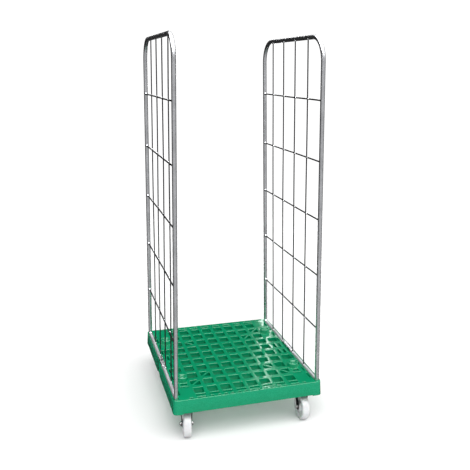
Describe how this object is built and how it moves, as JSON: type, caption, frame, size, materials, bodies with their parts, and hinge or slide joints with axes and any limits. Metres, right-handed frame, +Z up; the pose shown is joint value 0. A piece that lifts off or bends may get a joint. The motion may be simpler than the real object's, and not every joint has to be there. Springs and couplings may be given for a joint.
{
  "type": "plant trolley",
  "caption": "Tall two-sided roll trolley: a green plastic lattice deck on castors, with lift-out tube and wire side frames for trays of plants.",
  "frame": {"origin": "on the floor under the middle of the deck", "axes": "+X across the front to the right, +Y from the front to the rear, +Z up"},
  "size_m": [0.7244, 0.8189, 1.8059],
  "materials": {
    "green_plastic": "satin moulded high-density polyethylene",
    "zinc_steel": "bright zinc plating, drawn along the tube",
    "bolt_steel": "bright zinc plating",
    "white_nylon": "smooth moulded nylon"
  },
  "bodies": {
    "deck_body": {"deck": "green_plastic", "front_left_plate": "zinc_steel", "front_left_ball_race": "zinc_steel", "front_left_kingpin": "bolt_steel", "front_right_plate": "zinc_steel", "front_right_ball_race": "zinc_steel", "front_right_kingpin": "bolt_steel", "rear_left_fork": "zinc_steel", "rear_left_bush": "bolt_steel", "rear_left_axle_bolt": "bolt_steel", "rear_left_axle_nut": "bolt_steel", "rear_right_fork": "zinc_steel", "rear_right_bush": "bolt_steel", "rear_right_axle_bolt": "bolt_steel", "rear_right_axle_nut": "bolt_steel"},
    "left_frame": {"left_frame_tube": "zinc_steel", "left_bottom_rail": "zinc_steel", "left_rung_1": "zinc_steel", "left_rung_2": "zinc_steel", "left_rung_3": "zinc_steel", "left_rung_4": "zinc_steel", "left_rung_5": "zinc_steel", "left_wire_1": "zinc_steel", "left_wire_2": "zinc_steel", "left_wire_3": "zinc_steel", "left_wire_4": "zinc_steel"},
    "left_clip": {"left_locking_clip": "zinc_steel"},
    "right_frame": {"right_frame_tube": "zinc_steel", "right_bottom_rail": "zinc_steel", "right_rung_1": "zinc_steel", "right_rung_2": "zinc_steel", "right_rung_3": "zinc_steel", "right_rung_4": "zinc_steel", "right_rung_5": "zinc_steel", "right_wire_1": "zinc_steel", "right_wire_2": "zinc_steel", "right_wire_3": "zinc_steel", "right_wire_4": "zinc_steel"},
    "right_clip": {"right_locking_clip": "zinc_steel"},
    "front_left_swivel": {"front_left_fork": "zinc_steel", "front_left_bush": "bolt_steel", "front_left_axle_bolt": "bolt_steel", "front_left_axle_nut": "bolt_steel"},
    "front_left_wheel_body": {"front_left_wheel": "white_nylon"},
    "front_right_swivel": {"front_right_fork": "zinc_steel", "front_right_bush": "bolt_steel", "front_right_axle_bolt": "bolt_steel", "front_right_axle_nut": "bolt_steel"},
    "front_right_wheel_body": {"front_right_wheel": "white_nylon"},
    "rear_left_wheel_body": {"rear_left_wheel": "white_nylon"},
    "rear_right_wheel_body": {"rear_right_wheel": "white_nylon"}
  },
  "joints": [
    {"name": "left_frame_lift", "type": "slide", "parent": "deck_body", "child": "left_frame", "axis": [0.0087, 0, 1], "range_m": [0, 0.08]},
    {"name": "left_clip_lift", "type": "slide", "parent": "left_frame", "child": "left_clip", "axis": [0.0087, 0, 1], "range_m": [0, 0.06]},
    {"name": "right_frame_lift", "type": "slide", "parent": "deck_body", "child": "right_frame", "axis": [-0.0262, 0, 0.9997], "range_m": [0, 0.08]},
    {"name": "right_clip_lift", "type": "slide", "parent": "right_frame", "child": "right_clip", "axis": [-0.0262, 0, 0.9997], "range_m": [0, 0.06]},
    {"name": "front_left_swivel_turn", "type": "hinge", "parent": "deck_body", "child": "front_left_swivel", "pos_m": [-0.286, -0.312, 0.148], "axis": [0, 0, 1], "continuous": true},
    {"name": "front_left_wheel_spin", "type": "hinge", "parent": "front_left_swivel", "child": "front_left_wheel_body", "pos_m": [-0.29039, -0.34773, 0.0625], "axis": [0.9925, -0.1219, 0], "continuous": true},
    {"name": "front_right_swivel_turn", "type": "hinge", "parent": "deck_body", "child": "front_right_swivel", "pos_m": [0.286, -0.312, 0.148], "axis": [0, 0, 1], "continuous": true},
    {"name": "front_right_wheel_spin", "type": "hinge", "parent": "front_right_swivel", "child": "front_right_wheel_body", "pos_m": [0.286, -0.348, 0.0625], "axis": [1, 0, 0], "continuous": true},
    {"name": "rear_left_wheel_spin", "type": "hinge", "parent": "deck_body", "child": "rear_left_wheel_body", "pos_m": [-0.286, 0.312, 0.0625], "axis": [1, 0, 0], "continuous": true},
    {"name": "rear_right_wheel_spin", "type": "hinge", "parent": "deck_body", "child": "rear_right_wheel_body", "pos_m": [0.286, 0.312, 0.0625], "axis": [1, 0, 0], "continuous": true}
  ]
}
